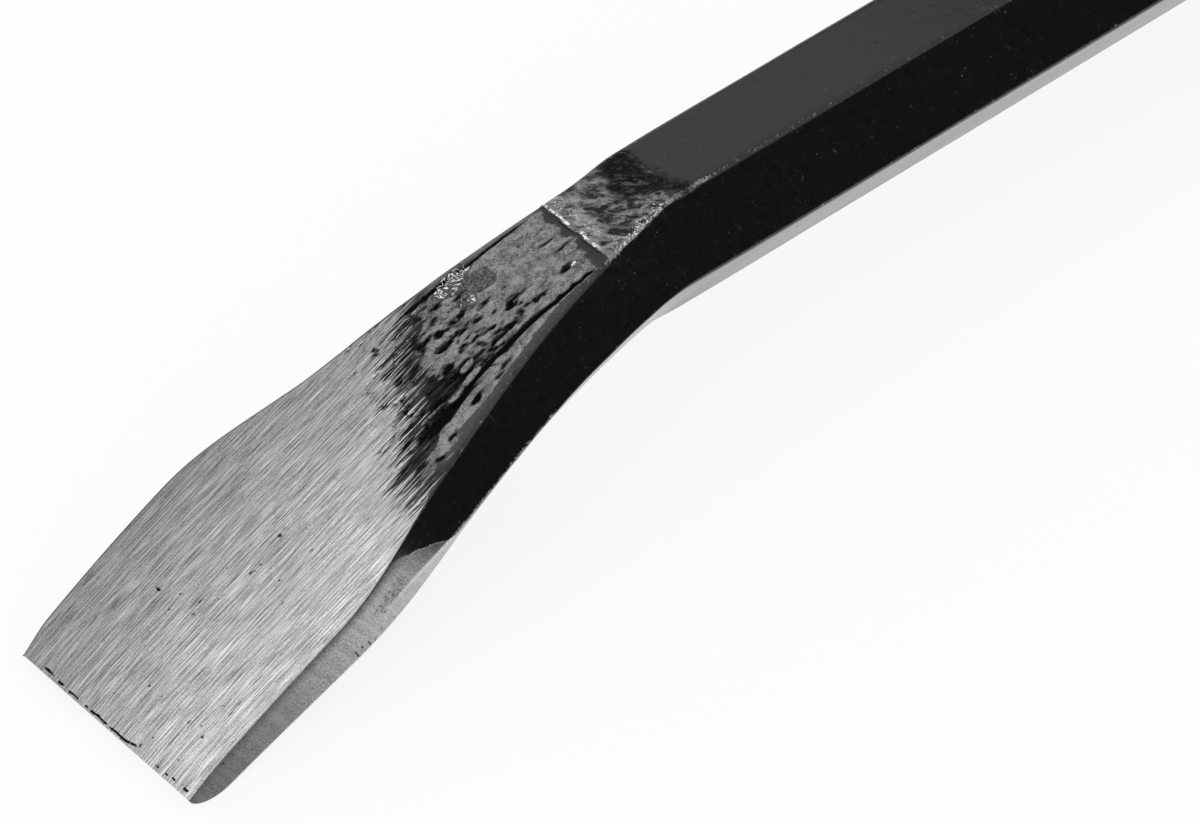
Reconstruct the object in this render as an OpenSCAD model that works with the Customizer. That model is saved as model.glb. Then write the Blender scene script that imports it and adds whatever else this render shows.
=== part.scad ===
// Nail puller crowbar: a hexagonal bar forged into a bent chisel at one end
// and a gooseneck with a forked nail claw at the other. Millimetres, +Z up.
// The origin is at the middle of the straight shank, on its axis. The chisel
// points along -X and bends down, the gooseneck curls up at the +X end.

/* [Shank] */
// Hexagonal stock, measured across the flats
across_flats = 18; // [14:1:24]
// Straight length between the two bends
shank_len = 480; // [200:10:900]
// How far each corner of the stock is rounded back along its faces
corner_round = 0.6; // [0.2:0.1:2]

/* [Chisel bend] */
// Turn of the bar from the shank to the blade, in degrees
chisel_bend = 24; // [10:1:35]
// Radius of the bend on the bar's centre line
chisel_bend_r = 84; // [40:4:140]

/* [Chisel neck] */
// From the start of the bend to the waist, where the hammering begins
waist_at = 7; // [4:1:20]
// How far the broad face has sunk below the stock at the waist
waist_drop = 1.6; // [0.5:0.1:3.5]
// How far the underside has risen at the waist
waist_press = 1.6; // [0.5:0.1:3.5]
// How much wider the broad face is at the waist than a flat of the stock
waist_spread = 1; // [0.4:0.1:6]
// How much wider the underside is at the waist than a flat of the stock
waist_under_spread = 2.4; // [0.4:0.1:5]
// How much wider the bar is at the waist, from side corner to side corner
waist_bulge = 0.8; // [0.2:0.1:5]
// From the waist to the edge of the lacquer
neck_run = 33; // [16:1:45]
// Height of the broad face above the centre line at the lacquer's edge
neck_rise = 4.6; // [4:0.1:7]
// Thickness at the lacquer's edge
neck_t = 12; // [8:0.1:13]
// Width of the broad face at the lacquer's edge
neck_w = 22.8; // [18:0.2:26]
// Width of the underside at the lacquer's edge
neck_under_w = 20.6; // [16:0.2:26]
// Width from side corner to side corner at the lacquer's edge
neck_mid_w = 28; // [27:0.1:30]
// How far the hammered ridges are rounded back, from the waist on
neck_round = 0.4; // [0.2:0.1:2]

/* [Chisel blade] */
// From the lacquer's edge to the shoulder, where the blade is full width
shoulder_run = 21; // [10:1:28]
// Width at the shoulder
blade_w = 31.2; // [28:0.2:36]
// Height of the broad face above the centre line at the shoulder
shoulder_rise = 4.3; // [3:0.1:6]
// Thickness at the shoulder
shoulder_t = 7; // [6.5:0.1:10]
// From the shoulder to the start of the rounded nose
land_run = 20; // [12:1:50]
// Height of the broad face above the centre line at the nose
land_rise = 2.9; // [1.5:0.1:3.5]
// Thickness at the nose
land_t = 5; // [4:0.1:6]
// Length of the rounded nose under the cutting edge
nose_len = 5; // [2:0.5:8]
// Width at the cutting edge
edge_w = 30.2; // [26:0.2:36]
// Height of the cutting edge above the centre line
edge_rise = 1.6; // [0.5:0.1:2.5]
// Thickness left at the cutting edge
edge_t = 0.5; // [0.3:0.1:1.2]
// Rounding left on the ground edges
ground_round = 0.35; // [0.2:0.05:0.8]

/* [Gooseneck] */
// Radius of the bow on the bar's centre line
bow_r = 30; // [24:1:60]
// Turn of the bow that keeps the full hexagonal section
hex_turn = 100; // [70:5:115]
// Further turn of the bow, over which the bar flattens into the claw
root_turn = 50; // [35:5:55]
// Thickness half way through the claw's root
root_t = 14; // [11:0.5:17]
// Width of the broad faces half way through the claw's root
root_w = 17; // [13:0.5:20]
// Width from corner to corner half way through the claw's root
root_mid_w = 25; // [22:0.5:28]

/* [Nail claw] */
// Length of the claw beyond the bow
claw_len = 42; // [34:1:60]
// Radius of the claw's own shallow curve
claw_curve_r = 120; // [90:5:300]
// Width where the claw leaves the bow
claw_w = 32; // [29:0.5:38]
// Thickness where the claw leaves the bow
claw_t = 9; // [7:0.5:12]
// Width across the two tips
tip_w = 34; // [30:0.5:40]
// Thickness of the tips
tip_t = 1.4; // [1:0.1:2.5]
// Length of the nail slot
slot_len = 30; // [20:1:32]
// Width of the nail slot at its mouth
slot_mouth = 12; // [9:0.5:14]
// Radius at the root of the nail slot
slot_root_r = 2; // [1.5:0.1:3]
// Sideways reach of the bevel on each side of the slot
slot_bevel = 3; // [1:0.5:4]

/* [Hidden] */

$fn = 96;
bow_steps = 12;             // rings in each lofted stretch of the claw end
neck_steps = 22;            // rings in the chisel's neck
blade_steps = 16;           // rings from the lacquer's edge to the nose
nose_steps = 7;             // rings round the nose
corner_steps = 3;           // chords in each rounded corner
slot_steps = 10;            // chords round the slot's root
cut_margin = 4;             // how far a cutting shape runs past the steel

stock_r = across_flats / 2;              // centre line to a flat
stock_side = across_flats / sqrt(3);     // length of one flat, and centre line to a corner

neck_at = waist_at + neck_run;
shoulder_at = neck_at + shoulder_run;
land_at = shoulder_at + land_run;
land_w = (blade_w + edge_w) / 2;
edge_at = land_at + nose_len;
bend_arc = chisel_bend_r * chisel_bend * PI / 180;

hex_arc = bow_r * hex_turn * PI / 180;
root_arc = bow_r * root_turn * PI / 180;
root_at = hex_arc + root_arc / 2;
claw_at = hex_arc + root_arc;
tip_at = claw_at + claw_len;

// A centre line is a list of runs, each [length, turn in degrees]. It starts at
// the end of the shank, heads along +X and turns up towards +Z.
chisel_line = [[bend_arc, chisel_bend], [2 * edge_at, 0]];
claw_line = [[claw_at, hex_turn + root_turn],
             [2 * claw_len, 2 * claw_len / claw_curve_r * 180 / PI]];

// A station is [distance along the centre line, height on the inside of the bend,
// height on the outside, half width of the outer face, half width of the inner
// face, half width at the side corners, rounding]. Both ends begin at the stock's
// own hexagon.
function stock_station(at) =
    [at, stock_r, stock_r, stock_side / 2, stock_side / 2, stock_side, corner_round];

chisel_stations = [
    stock_station(0),
    [waist_at, stock_r - waist_press, stock_r - waist_drop,
        (stock_side + waist_spread) / 2, (stock_side + waist_under_spread) / 2,
        stock_side + waist_bulge / 2, neck_round],
    [neck_at, neck_t - neck_rise, neck_rise, neck_w / 2, neck_under_w / 2, neck_mid_w / 2,
        neck_round],
    [shoulder_at, shoulder_t - shoulder_rise, shoulder_rise, blade_w / 2, blade_w / 2,
        blade_w / 2, ground_round],
    [land_at, land_t - land_rise, land_rise, land_w / 2, land_w / 2, land_w / 2, ground_round],
    [edge_at, land_t - land_rise, edge_rise, edge_w / 2, edge_w / 2, edge_w / 2,
        ground_round]];

claw_stations = [
    stock_station(hex_arc),
    [root_at, root_t / 2, root_t / 2, root_w / 2, root_w / 2, root_mid_w / 2, corner_round],
    [claw_at, claw_t / 2, claw_t / 2, claw_w / 2, claw_w / 2, claw_w / 2, corner_round / 2],
    [tip_at, tip_t / 2, tip_t / 2, tip_w / 2, tip_w / 2, tip_w / 2, ground_round]];

// Smooth curve through the stations: a cubic between neighbours that never
// swings past them. It leaves the stock level.
function span(st, s, i = 0) = (i == len(st) - 2 || s <= st[i + 1][0]) ? i : span(st, s, i + 1);
function grade(st, k, i) = (st[i + 1][k] - st[i][k]) / (st[i + 1][0] - st[i][0]);
function slope(st, k, i) =
    i == 0 ? 0 :
    i == len(st) - 1 ? grade(st, k, i - 1) :
    let (a = grade(st, k, i - 1), b = grade(st, k, i)) a * b <= 0 ? 0 : 2 * a * b / (a + b);
function along(st, k, s) =
    let (i = span(st, s), w = st[i + 1][0] - st[i][0], u = (s - st[i][0]) / w)
    st[i][k] * (1 + 2 * u) * pow(1 - u, 2) + st[i + 1][k] * u * u * (3 - 2 * u)
    + w * (slope(st, k, i) * u * pow(1 - u, 2) - slope(st, k, i + 1) * u * u * (1 - u));

// How much the rounded nose has taken off the underside of the blade at s.
function nose_cut(s) =
    s <= land_at ? 0 :
    let (u = min(1, (s - land_at) / nose_len))
    (land_t - land_rise + edge_rise - edge_t) * (1 - sqrt(1 - u * u));

// One corner, rounded by a parabola that starts the same distance back on both faces.
function rounded(before, corner, after, back) =
    let (d = min(back, 0.45 * norm(before - corner), 0.45 * norm(after - corner)),
         p = corner + d * (before - corner) / norm(before - corner),
         q = corner + d * (after - corner) / norm(after - corner))
    [for (i = [0:corner_steps]) let (u = i / corner_steps)
        p * pow(1 - u, 2) + corner * 2 * u * (1 - u) + q * u * u];

// Six-sided section, [sideways, towards the inside of the bend], from the sizes of
// a station without its place.
function section(sizes) =
    let (inner = sizes[0], outer = sizes[1], face = sizes[2], under = sizes[3],
         side = sizes[4], back = sizes[5], mid = (inner - outer) / 2,
         c = [[face, -outer], [side, mid], [under, inner],
              [-under, inner], [-side, mid], [-face, -outer]])
    [for (i = [0:5]) each rounded(c[(i + 5) % 6], c[i], c[(i + 1) % 6], back)];

stock_section = section([for (k = [1:6]) stock_station(0)[k]]);

// Place and heading on a centre line: [forward, up, heading].
function on_line(line, s, i = 0, p = [0, 0, 0]) =
    let (last = i == len(line) - 1, run = last ? s : min(s, line[i][0]),
         turn = line[i][1] * run / line[i][0], h = p[2] + turn / 2,
         chord = turn == 0 ? run : run * sin(turn / 2) / (turn / 2 * PI / 180),
         q = [p[0] + chord * cos(h), p[1] + chord * sin(h), p[2] + turn])
    (last || s <= line[i][0]) ? q : on_line(line, s - run, i + 1, q);

// A section carried to its place on the centre line.
function ring(line, s, sec) =
    let (p = on_line(line, s))
    [for (v = sec) [p[0] - v[1] * sin(p[2]), v[0], p[1] + v[1] * cos(p[2])]];

function station_ring(line, st, s, cut = 0) =
    ring(line, s, section([for (k = [1:6]) along(st, k, s) - (k == 1 ? cut : 0)]));

// Closed solid through a row of rings that all have the same number of points.
module loft(rings) {
    n = len(rings[0]);
    m = len(rings);
    sides = [for (j = [0:m - 2]) for (i = [0:n - 1])
        let (a = j * n + i, b = j * n + (i + 1) % n) each [[a, a + n, b], [b, a + n, b + n]]];
    polyhedron(points = [for (r = rings) each r],
               faces = concat([[for (i = [0:n - 1]) i]], sides,
                              [[for (i = [n - 1:-1:0]) (m - 1) * n + i]]),
               convexity = 6);
}

// Both ends are drawn from the shank's end outwards, then set in place. The
// chisel end is turned half round, so its outside is the face that looks up.
module at_chisel_end() {
    translate([-shank_len / 2, 0, 0]) rotate([0, 180, 0]) children();
}

module at_claw_end() {
    translate([shank_len / 2, 0, 0]) children();
}

function chisel_rings(places) =
    [for (s = places) station_ring(chisel_line, chisel_stations, s, nose_cut(s))];

module chisel_blade() {
    ground = [for (i = [0:blade_steps]) neck_at + (land_at - neck_at) * i / blade_steps];
    nose = [for (i = [1:nose_steps]) land_at + nose_len * sin(90 * i / nose_steps)];
    color("silver") at_chisel_end() loft(chisel_rings(concat(ground, nose)));
}

module chisel_neck() {
    color([0.13, 0.13, 0.13]) at_chisel_end()
        loft(chisel_rings([for (i = [0:neck_steps]) neck_at * i / neck_steps]));
}

module shank() {
    color([0.08, 0.08, 0.08]) translate([-shank_len / 2, 0, 0]) rotate([90, 0, 90])
        linear_extrude(height = shank_len) polygon(stock_section);
}

module gooseneck() {
    color([0.08, 0.08, 0.08]) at_claw_end() translate([0, 0, bow_r])
        rotate([90, 0, 0]) rotate([0, 0, -90]) rotate_extrude(angle = hex_turn)
            polygon([for (v = stock_section) [bow_r - v[1], v[0]]]);
}

module claw_root() {
    color([0.13, 0.13, 0.13]) at_claw_end()
        loft([for (i = [0:bow_steps])
            station_ring(claw_line, claw_stations, hex_arc + root_arc * i / bow_steps)]);
}

// Outline of the nail slot from above: straight flanks that run tangent into a
// round root. The tips are at x = 0 and the root lies towards -X.
function slot_outline(grow, z) =
    let (r = slot_root_r + grow, m = slot_mouth / 2 + grow, c = slot_root_r - slot_len,
         touch = atan2(m, -c) + acos(r / norm([c, m])),
         widen = (m - r * sin(touch)) / (-c - r * cos(touch)),
         out = m + widen * cut_margin)
    concat([[cut_margin, out, z]],
           [for (i = [0:slot_steps]) let (a = touch + (360 - 2 * touch) * i / slot_steps)
               [c + r * cos(a), r * sin(a), z]],
           [[cut_margin, -out, z]]);

// The slot with its bevels, in a frame whose origin is midway between the tips.
module nail_slot() {
    translate([0, 0, -claw_t]) linear_extrude(height = 2 * claw_t)
        polygon([for (v = slot_outline(0, 0)) [v[0], v[1]]]);
    loft([slot_outline(0, -tip_t), slot_outline(slot_bevel * (claw_t + tip_t) / claw_t, claw_t)]);
}

module nail_claw() {
    tip = on_line(claw_line, tip_at);
    mid = on_line(claw_line, tip_at - slot_len / 2);
    color("silver") at_claw_end() difference() {
        loft([for (i = [0:bow_steps])
            station_ring(claw_line, claw_stations, claw_at + claw_len * i / bow_steps)]);
        translate([tip[0], 0, tip[1]]) rotate([0, -mid[2], 0]) nail_slot();
    }
}

chisel_blade();
chisel_neck();
shank();
gooseneck();
claw_root();
nail_claw();
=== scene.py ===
import math
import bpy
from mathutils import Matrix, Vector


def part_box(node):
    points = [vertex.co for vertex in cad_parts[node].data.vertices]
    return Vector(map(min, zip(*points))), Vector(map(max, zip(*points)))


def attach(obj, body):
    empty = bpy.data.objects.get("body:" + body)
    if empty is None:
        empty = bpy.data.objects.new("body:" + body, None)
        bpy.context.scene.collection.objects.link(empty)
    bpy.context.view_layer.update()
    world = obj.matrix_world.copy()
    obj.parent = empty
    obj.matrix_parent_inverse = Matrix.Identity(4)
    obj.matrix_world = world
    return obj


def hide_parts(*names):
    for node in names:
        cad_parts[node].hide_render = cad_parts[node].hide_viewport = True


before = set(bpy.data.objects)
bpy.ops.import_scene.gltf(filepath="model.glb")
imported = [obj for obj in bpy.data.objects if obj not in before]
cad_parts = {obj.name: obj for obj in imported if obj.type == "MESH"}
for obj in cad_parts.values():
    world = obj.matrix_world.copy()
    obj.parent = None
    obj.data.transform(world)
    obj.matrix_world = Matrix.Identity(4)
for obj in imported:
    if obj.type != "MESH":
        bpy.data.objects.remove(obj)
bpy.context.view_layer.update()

from types import SimpleNamespace

import bpy
import numpy as np
from mathutils import Matrix, Vector

MM = 0.001      # the bar is described in millimetres and placed in metres

# Sizes of the bar, as its solids have them
HALF_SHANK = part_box("shank")[1].x / MM
STOCK_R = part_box("shank")[1].z / MM             # centre line to a flat
STOCK_SIDE = 2 * STOCK_R / math.sqrt(3)         # length of a flat, and centre line to a corner
STOCK_ROUND = 0.6
NECK_ROUND = 0.4
GROUND_ROUND = 0.35

BEND_R = 84.0
BEND_TURN = math.radians(24)
WAIST_AT = 7.0
WAIST_SUNK = 1.6        # how far both broad faces lie below the stock's at the waist
NECK_AT = 40.0          # the lacquer ends here on the solids
SHOULDER_AT = 61.0
LAND_AT = 81.0
LAND_DEPTH = 2.1        # centre line to the underside, from the nose on
EDGE_AT = 86.0
EDGE_RISE = 1.6         # centre line to the cutting edge
EDGE_T = 0.5
BLADE_W = 31.2
EDGE_W = 30.2

BOW_R = 30.0
HEX_AT = BOW_R * math.radians(100)
CLAW_AT = BOW_R * math.radians(150)
CLAW_LEN = 42.0
TIP_AT = CLAW_AT + CLAW_LEN
CLAW_R = 120.0
CLAW_T = 9.0
TIP_T = 1.4
SLOT_LEN = 30.0
SLOT_MOUTH = 12.0
SLOT_ROOT_R = 2.0
SLOT_BEVEL = 3.0
ARC_STEPS = 24          # pieces of the slot's round root
FAR_END = -2 * HALF_SHANK       # start of the bow, counted from the chisel's bend

# Marks of forging and grinding, as distances along the bar from the start of the bend
# and sideways from its middle
SEAM_AT = 9.95          # step across the broad face where the hammering ends
FOLD_FROM, FOLD_TO = 12.0, 40.0
GRIND_FAR = 42.0        # where the lacquer ends beside the near ridge
GRIND_Y = (-11.0, -10.2, -8.0, -7.0, -6.0, -3.0, -2.0, 0.0, 2.7, 3.6, 5.5, 7.0, 9.0)
GRIND_S = (41.9, 42.5, 43.6, 43.2, 41.0, 38.2, 36.0, 34.6, 34.0, 33.0, 31.2, 29.8, 27.0)
NICKS = ((11.0, 0.9), (8.6, 0.6), (5.9, 1.0), (2.4, 1.9), (-1.4, 1.7), (-4.2, 0.6),
         (-8.6, 0.5), (-11.6, 0.4), (-13.4, 0.9))      # place across the blade and half length
SEAM_GLINTS = ((5.9, 0.7), (3.9, 1.0), (2.2, 0.8), (-1.2, 0.8), (-3.4, 0.6))
LAST_GLINT = (12.9, -3.2, 0.45, 0.36)   # s, y, half length, half width

# Segments of a piece's ring on a broad face, on a narrow face and in a corner
FINE = (112, 34, 4)
PLAIN = (40, 40, 4)
CLAW = (84, 26, 4)


# Repeatable noise
def smooth(a, b, x):
    """0 below a, 1 above b and an easy rise between them."""
    u = np.clip((np.asarray(x, float) - a) / (b - a), 0, 1)
    return u * u * (3 - 2 * u)


def window(a, b, x, soft):
    """1 between a and b and 0 outside, with edges as soft as said."""
    return smooth(a - soft, a + soft, x) * (1 - smooth(b - soft, b + soft, x))


def lattice(ix, iy, iz, seed):
    """A fixed value from 0 to 1 for each whole-number point."""
    h = (ix * 73856093) ^ (iy * 19349663) ^ (iz * 83492791) ^ (seed * 49979693)
    for shift, factor in ((15, 1103515245), (13, 22695477), (16, 1)):
        h = ((h ^ (h >> shift)) & 0x7FFFFFFF) * factor & 0x7FFFFFFF
    return (h & 0xFFFF) / 65535.0


def noise(x, y=0.0, z=0.0, seed=0, octaves=1):
    """Smooth noise from 0 to 1 whose grain is one unit wide."""
    x, y, z = (np.asarray(v, float) for v in np.broadcast_arrays(x, y, z))
    total, weight, size = 0.0, 0.0, 1.0
    for k in range(octaves):
        p = [v * 2 ** k + 17.3 * (k + 1) for v in (x, y, z)]
        cell = [np.floor(v).astype(np.int64) for v in p]
        f = [smooth(0, 1, v - c) for v, c in zip(p, cell)]
        value = 0.0
        for dx in (0, 1):
            for dy in (0, 1):
                for dz in (0, 1):
                    w = ((f[0] if dx else 1 - f[0]) * (f[1] if dy else 1 - f[1])
                         * (f[2] if dz else 1 - f[2]))
                    value = value + w * lattice(cell[0] + dx, cell[1] + dy, cell[2] + dz, seed + 101 * k)
        total, weight, size = total + size * value, weight + size, size / 2
    return total / weight


# The bar's section along its length
def stock(at):
    """Section of the plain hexagonal stock."""
    return (at, STOCK_R, STOCK_R, STOCK_SIDE / 2, STOCK_SIDE / 2, STOCK_SIDE, STOCK_ROUND)


# Distance along the bar, depth inside and outside the bend, half width of the outer face,
# of the inner face and at the side corners, rounding of the corners
LAND_HALF = (BLADE_W + EDGE_W) / 4
CHISEL_STATIONS = (
    stock(0),
    (WAIST_AT, STOCK_R - WAIST_SUNK, STOCK_R - WAIST_SUNK, STOCK_SIDE / 2 + 0.5, STOCK_SIDE / 2 + 1.2,
     STOCK_SIDE + 0.4, NECK_ROUND),
    (NECK_AT, 7.4, 4.6, 11.4, 10.3, 14.0, NECK_ROUND),
    (SHOULDER_AT, 2.7, 4.3, BLADE_W / 2, BLADE_W / 2, BLADE_W / 2, GROUND_ROUND),
    (LAND_AT, LAND_DEPTH, 2.9, LAND_HALF, LAND_HALF, LAND_HALF, GROUND_ROUND),
    (EDGE_AT, LAND_DEPTH, EDGE_RISE, EDGE_W / 2, EDGE_W / 2, EDGE_W / 2, GROUND_ROUND))

CLAW_STATIONS = (
    stock(HEX_AT),
    ((HEX_AT + CLAW_AT) / 2, 7.0, 7.0, 8.5, 8.5, 12.5, STOCK_ROUND),
    (CLAW_AT, CLAW_T / 2, CLAW_T / 2, 16.0, 16.0, 16.0, STOCK_ROUND / 2),
    (TIP_AT, TIP_T / 2, TIP_T / 2, 17.0, 17.0, 17.0, GROUND_ROUND))


def eased(stations, s):
    """The section's sizes at each s: a cubic through the stations that never swings past them."""
    st = np.array(stations, float)
    x, y = st[:, 0], st[:, 1:]
    grade = np.diff(y, axis=0) / np.diff(x)[:, None]
    slope = np.zeros_like(y)
    a, b = grade[:-1], grade[1:]
    same = a * b > 0
    slope[1:-1] = np.where(same, 2 * a * b / np.where(same, a + b, 1), 0)
    slope[-1] = grade[-1]
    s = np.clip(s, x[0], x[-1])
    i = np.clip(np.searchsorted(x, s, side="left") - 1, 0, len(x) - 2)
    w = (x[i + 1] - x[i])[:, None]
    u = ((s - x[i]) / (x[i + 1] - x[i]))[:, None]
    return (y[i] * (1 + 2 * u) * (1 - u) ** 2 + y[i + 1] * u * u * (3 - 2 * u)
            + w * (slope[i] * u * (1 - u) ** 2 - slope[i + 1] * u * u * (1 - u)))


def nose_cut(s):
    """How much the rounded nose has taken off the underside of the blade."""
    u = np.clip((s - LAND_AT) / (EDGE_AT - LAND_AT), 0, 1)
    return (LAND_DEPTH + EDGE_RISE - EDGE_T) * (1 - np.sqrt(1 - u * u))


def rings(sizes, segments):
    """For each row of sizes, points round the six-sided section as [sideways, height towards
    the outside of the bend], and how far each is from its nearest corner."""
    broad, narrow, turn = segments
    inner, outer, face, under, side, back = sizes.T
    mid = (inner - outer) / 2
    c = np.stack([np.stack(p, -1) for p in (
        (face, outer), (side, -mid), (under, -inner), (-under, -inner), (-side, -mid), (-face, outer))], 1)
    to_before, to_after = np.roll(c, 1, 1) - c, np.roll(c, -1, 1) - c
    before, after = np.linalg.norm(to_before, axis=-1), np.linalg.norm(to_after, axis=-1)
    d = np.minimum(back[:, None], 0.45 * np.minimum(before, after))[..., None]
    p, q = c + d * to_before / before[..., None], c + d * to_after / after[..., None]
    out = []
    for i, n in enumerate((narrow, narrow, broad, narrow, narrow, broad)):
        u = (np.arange(turn) / turn)[None, :, None]
        out.append(p[:, i, None] * (1 - u) ** 2 + c[:, i, None] * 2 * u * (1 - u) + q[:, i, None] * u * u)
        u = (np.arange(n) / n)[None, :, None]
        out.append(q[:, i, None] * (1 - u) + p[:, (i + 1) % 6, None] * u)
    ring = np.concatenate(out, 1)
    near = np.linalg.norm(ring[:, :, None] - c[:, None], axis=-1).min(-1)
    return ring, near


def at_chisel(s, y, h):
    """Places a point of the chisel end or the shank: s runs from the bend to the cutting edge."""
    turn = np.clip(s / BEND_R, 0, BEND_TURN)
    past = np.clip(s - BEND_R * BEND_TURN, 0, None)
    ahead = np.minimum(s, 0) + BEND_R * np.sin(turn) + past * math.cos(BEND_TURN)
    down = BEND_R * (1 - np.cos(turn)) + past * math.sin(BEND_TURN)
    return np.stack([-HALF_SHANK - ahead - h * np.sin(turn), y, h * np.cos(turn) - down], -1)


def claw_line(s):
    """Forward, up and heading of the claw end's centre line."""
    turn = np.clip(s, 0, CLAW_AT) / BOW_R
    full, bend = CLAW_AT / BOW_R, np.clip(s - CLAW_AT, 0, None) / CLAW_R
    ahead = BOW_R * np.sin(turn) + np.minimum(s, 0) + CLAW_R * (np.sin(full + bend) - math.sin(full))
    up = BOW_R * (1 - np.cos(turn)) + CLAW_R * (math.cos(full) - np.cos(full + bend))
    return ahead, up, turn + bend


def at_claw(s, y, h):
    """Places a point of the claw end: s runs from the shank to the tips."""
    ahead, up, turn = claw_line(s)
    return np.stack([HALF_SHANK + ahead + h * np.sin(turn), y, up - h * np.cos(turn)], -1)


def grid_normals(grid):
    """Directions square to the surface that a grid of points makes, inwards or outwards."""
    n = np.cross(np.gradient(grid, axis=0), np.roll(grid, -1, 1) - np.roll(grid, 1, 1))
    return n / (np.linalg.norm(n, axis=-1, keepdims=True) + 1e-12)


def directions(grid):
    """Outward directions of the surface that a grid of points makes."""
    n = grid_normals(grid)
    return n * np.sign(((grid - grid.mean(1, keepdims=True)) * n).sum(-1).mean())


# Marks on the surface: a depth in millimetres, and masks that the finish reads
def lacquer_ripple(t, y, up):
    """Slight unevenness of rolled and lacquered stock, always inwards."""
    return (-0.05 * noise(t / 9, y / 6, up / 6, seed=3)
            - 0.022 * noise(t / 2.3, y / 2.1, up / 2.1, seed=4, octaves=2))


# Raised scraps of scale in the low ground: s, y, half length, half width
ISLANDS = ((13.2, -4.4, 1.0, 0.5), (15.8, -4.7, 0.9, 0.6), (29.4, -4.8, 1.5, 0.4), (32.0, -5.0, 1.3, 0.32),
           (28.9, -3.3, 1.0, 0.4), (35.4, -4.4, 1.6, 0.16), (31.1, -6.7, 1.7, 0.45), (36.8, -9.0, 1.8, 0.4),
           (38.2, -8.3, 1.6, 0.35))

# Chains of long pits: from s, to s, y, strength
CHAINS = ((17.0, 21.5, -1.5, 1.4), (17.0, 28.0, -3.5, 1.3), (23.5, 28.5, 2.2, 0.9), (23.0, 27.0, -1.3, 0.7),
          (26.0, 31.5, 0.6, 0.9), (26.5, 32.0, -1.6, 1.0), (28.5, 31.5, 3.1, 0.9), (27.0, 32.0, -2.8, 0.9))

# Single deep pits: s, y, half length, half width
PITS = ((13.5, -2.9, 1.0, 0.26), (30.8, -7.3, 1.2, 0.45), (36.5, -8.6, 1.2, 0.4), (38.4, -9.3, 0.8, 0.28),
        (26.1, -7.0, 0.5, 0.12), (27.6, -7.4, 0.4, 0.1), (12.6, 1.5, 0.4, 0.08), (12.1, -0.5, 0.3, 0.06),
        (34.2, -6.1, 4.4, 0.5), (30.2, -3.9, 2.2, 0.35), (33.4, -4.2, 2.2, 0.28), (24.3, 0.2, 0.4, 0.25))

# Torn patches: s, y, half length, half width, how bright
SCRAPES = ((22.8, 6.3, 2.9, 1.5, 1.0), (20.8, 3.9, 2.0, 1.9, 0.55), (23.2, 2.8, 1.4, 1.1, 0.76))

# Short cuts in the low edge of the blade's near side: s, height, half length, half width
TICKS = ((60.9, -1.6, 0.12, 0.6), (60.0, -1.5, 0.12, 0.6), (59.0, -1.9, 0.12, 0.6))

# Grey scuffs on the near side of the stock: s, height, half length, half width
SCUFFS = ((-16.8, 4.0, 0.35, 0.7), (-22.6, 4.9, 0.15, 0.7), (-23.6, 4.5, 0.15, 0.6), (-32.6, 8.4, 0.8, 0.2))


class Points:
    """Points of the surface: distance s, side y and height h, with what the marks go by."""

    def __init__(self, s, y, h, outer, face, top, ridge):
        self.s, self.y, self.h = s, y, h
        self.outer, self.face = outer, face     # height and half width of the outer broad face
        self.top, self.ridge = top, ridge       # 1 on that face, 1 on a corner
        # two noises that the marks wander by
        self.warp = [noise(s / 2.2, y / 1.5, h / 4, seed=k, octaves=3) - 0.5 for k in (21, 22)]


def spots(s, y, places, soft=0.3):
    """How deep each point lies in any of the long spots: 1 at a middle, 0.5 at a rim."""
    most = np.zeros_like(s)
    for at_s, at_y, half_l, half_w in places:
        apart = np.hypot((s - at_s) / half_l, (y - at_y) / half_w)
        most = np.maximum(most, np.clip(0.5 + (1 - apart) * half_w / (2 * soft), 0, 1))
    return most


def past_step(p):
    """How far a point lies beyond the step across the broad face."""
    return p.s - SEAM_AT - 0.4 * (noise(p.y / 1.7, seed=23, octaves=3) - 0.5)


def step_marks(p):
    """The step across the broad face: depth, the torn lip, and the dark line at its foot, which is partly
    painted shade in the step's corner.
    """
    past = past_step(p)
    lip = 0.0
    for middle, half in SEAM_GLINTS:
        lip = lip + np.exp(-((p.y - middle) / half) ** 4)
    lip = np.clip(0.38 + lip, 0, 1) * p.top * np.exp(-((past + 0.25) / 0.29) ** 2)
    lip = np.maximum(lip, p.top * spots(p.s, p.y, (LAST_GLINT,), 0.15))
    close = np.maximum(1 - smooth(0.5, 2.5, p.face + p.y), window(7.5, 9.5, p.s, 1.5))
    lip = np.maximum(lip, 0.60 * p.top * close * window(0.5, 9.5, p.s, 1.0))
    # the foot line turns black in the finish: partly painted shade in the corner of the step
    foot = p.top * np.exp(-((past - 0.1) / 0.16) ** 2)
    return 0.16 * lip - 0.16 * p.top * smooth(-0.1, 0.2, past), lip, foot


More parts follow.
